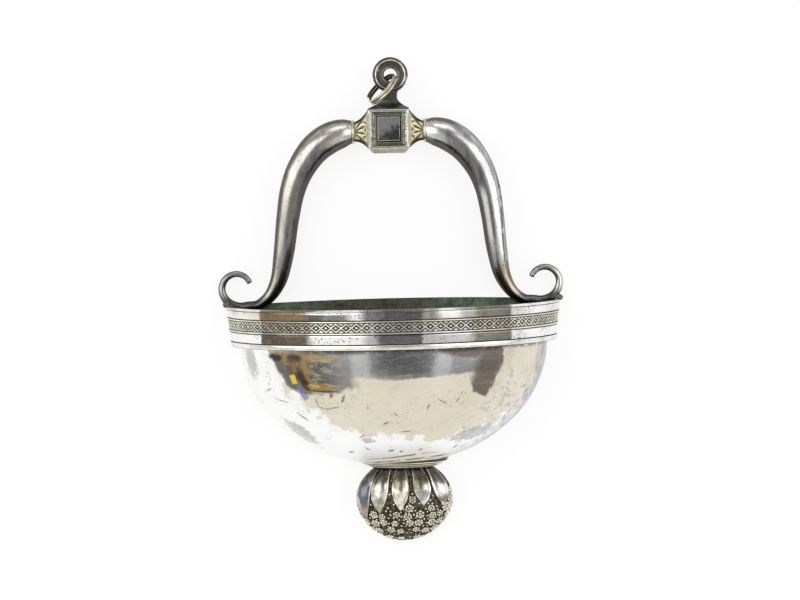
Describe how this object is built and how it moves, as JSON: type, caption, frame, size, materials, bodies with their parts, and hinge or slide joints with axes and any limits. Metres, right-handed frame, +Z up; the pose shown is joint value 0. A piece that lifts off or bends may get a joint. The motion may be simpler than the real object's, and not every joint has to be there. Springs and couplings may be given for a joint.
{
  "type": "wall-hung holy water font",
  "caption": "Silver wall font: half-round basin with a flat back and milled rim, scrolled tube handle with a square block and hanging eye, and a leaf and rosette finial.",
  "frame": {"origin": "on the rear face of the basin's back sheet, on the basin's centre line, level with the top of the rim", "axes": "+X to the viewer's right, +Y into the wall, +Z up"},
  "size_m": [0.1719, 0.0698, 0.2414],
  "materials": {
    "silver": "polished silver, lightly tarnished",
    "dulled": "dulled silver with dark tarnish in the hollows",
    "oxidised": "oxidised silver, satin",
    "gilt": "silver with worn pale gilding",
    "verdigris": "solder under matt green tarnish"
  },
  "bodies": {
    "font": {"back_plate": "dulled", "bowl_shell": "silver", "rim_lip": "silver", "upper_strip": "silver", "upper_fillet": "silver", "lozenge_strip": "dulled", "lower_bead": "silver", "lower_strip": "silver", "step_moulding": "silver", "arm_right": "dulled", "arm_left": "dulled", "solder_right": "verdigris", "solder_left": "verdigris", "centre_block": "dulled", "block_back": "dulled", "panel_frame": "gilt", "sunk_panel": "oxidised", "block_foot": "silver", "ferrule_right": "gilt", "ferrule_left": "gilt", "tube_ring_right": "silver", "tube_ring_left": "silver", "eye_foot": "dulled", "suspension_eye": "dulled", "finial_collar": "silver", "finial_shell": "oxidised", "finial_back": "dulled", "petal_1": "silver", "petal_2": "silver", "petal_3": "silver", "petal_4": "silver", "petal_5": "silver", "finial_stud": "dulled", "finial_nut": "dulled"},
    "ring": {"jump_ring": "dulled"}
  },
  "joints": [
    {"name": "ring_swing", "type": "hinge", "parent": "font", "child": "ring", "pos_m": [0.0013, -0.01, 0.1132], "axis": [0, 1, 0], "range_deg": [0, 284]}
  ]
}
